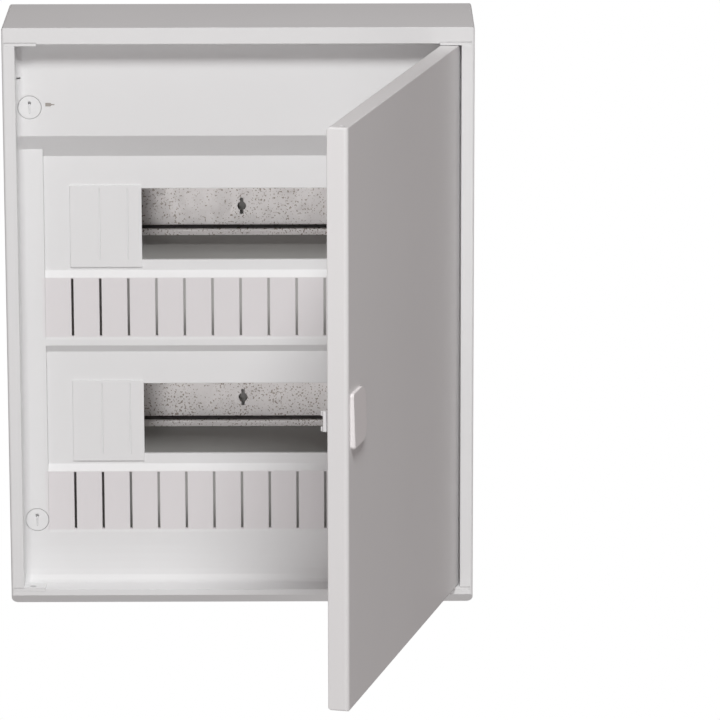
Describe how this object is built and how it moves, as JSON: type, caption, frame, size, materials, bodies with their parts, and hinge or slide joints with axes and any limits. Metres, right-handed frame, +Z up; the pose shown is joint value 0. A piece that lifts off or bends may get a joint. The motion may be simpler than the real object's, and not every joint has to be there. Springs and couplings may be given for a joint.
{
  "type": "surface distribution board",
  "caption": "Wall-mounted plastic distribution board with module rows on DIN rails behind a hinged door, and quarter-turn screws that hold its hood.",
  "frame": {"origin": "middle of the back face that lies on the wall, midway between the wall screw holes", "axes": "+X to the right seen from the front, +Y into the wall, +Z up"},
  "size_m": [0.29, 0.3399, 0.368],
  "materials": {
    "white_cover": "fine satin moulding grain",
    "white_door": "fine satin moulding grain",
    "white_base": "plain moulded",
    "white_strip": "smooth satin",
    "white_fitting": "smooth satin",
    "white_screw": "smooth satin",
    "white_handle": "smooth satin",
    "white_clip": "smooth satin",
    "zinc_rail": "galvanised, spangled",
    "zinc_screw": "bright zinc plated",
    "pin_steel": "ground",
    "brass_bar": "machined, dull",
    "blue_holder": "moulded",
    "green_holder": "moulded"
  },
  "bodies": {
    "housing": {"base_plate": "white_base", "front_cover": "white_cover", "din_rail_top": "zinc_rail", "din_rail_bottom": "zinc_rail", "rail_screws": "zinc_screw", "blank_strip_top": "white_strip", "blank_strip_bottom": "white_strip", "neutral_bar": "brass_bar", "neutral_bar_holder": "blue_holder", "neutral_bar_screws": "zinc_screw", "earth_bar": "brass_bar", "earth_bar_holder": "green_holder", "earth_bar_screws": "zinc_screw", "holder_screws": "zinc_screw", "hinge_plate_top_right": "white_fitting", "hinge_plate_bottom_right": "white_fitting", "hinge_plate_top_left": "white_fitting", "hinge_plate_bottom_left": "white_fitting", "hinge_pin_top": "pin_steel", "hinge_pin_bottom": "pin_steel"},
    "door": {"door_panel": "white_door", "door_handle": "white_handle", "door_latch_clip": "white_clip"},
    "screw_top_left": {"cover_screw_top_left": "white_screw"},
    "screw_top_right": {"cover_screw_top_right": "white_screw"},
    "screw_bottom_left": {"cover_screw_bottom_left": "white_screw"},
    "screw_bottom_right": {"cover_screw_bottom_right": "white_screw"}
  },
  "joints": [
    {"name": "door_hinge", "type": "hinge", "parent": "housing", "child": "door", "pos_m": [0.1314, -0.0806, 0], "axis": [0, 0, 1], "range_deg": [-75, 25]},
    {"name": "screw_turn_top_left", "type": "hinge", "parent": "housing", "child": "screw_top_left", "pos_m": [-0.1293, -0.045, 0.1315], "axis": [0, 1, 0], "range_deg": [0, 90]},
    {"name": "screw_turn_top_right", "type": "hinge", "parent": "housing", "child": "screw_top_right", "pos_m": [0.1293, -0.045, 0.1315], "axis": [0, 1, 0], "range_deg": [0, 90]},
    {"name": "screw_turn_bottom_left", "type": "hinge", "parent": "housing", "child": "screw_bottom_left", "pos_m": [-0.1293, -0.045, -0.1345], "axis": [0, 1, 0], "range_deg": [0, 90]},
    {"name": "screw_turn_bottom_right", "type": "hinge", "parent": "housing", "child": "screw_bottom_right", "pos_m": [0.1293, -0.045, -0.1345], "axis": [0, 1, 0], "range_deg": [0, 90]}
  ]
}
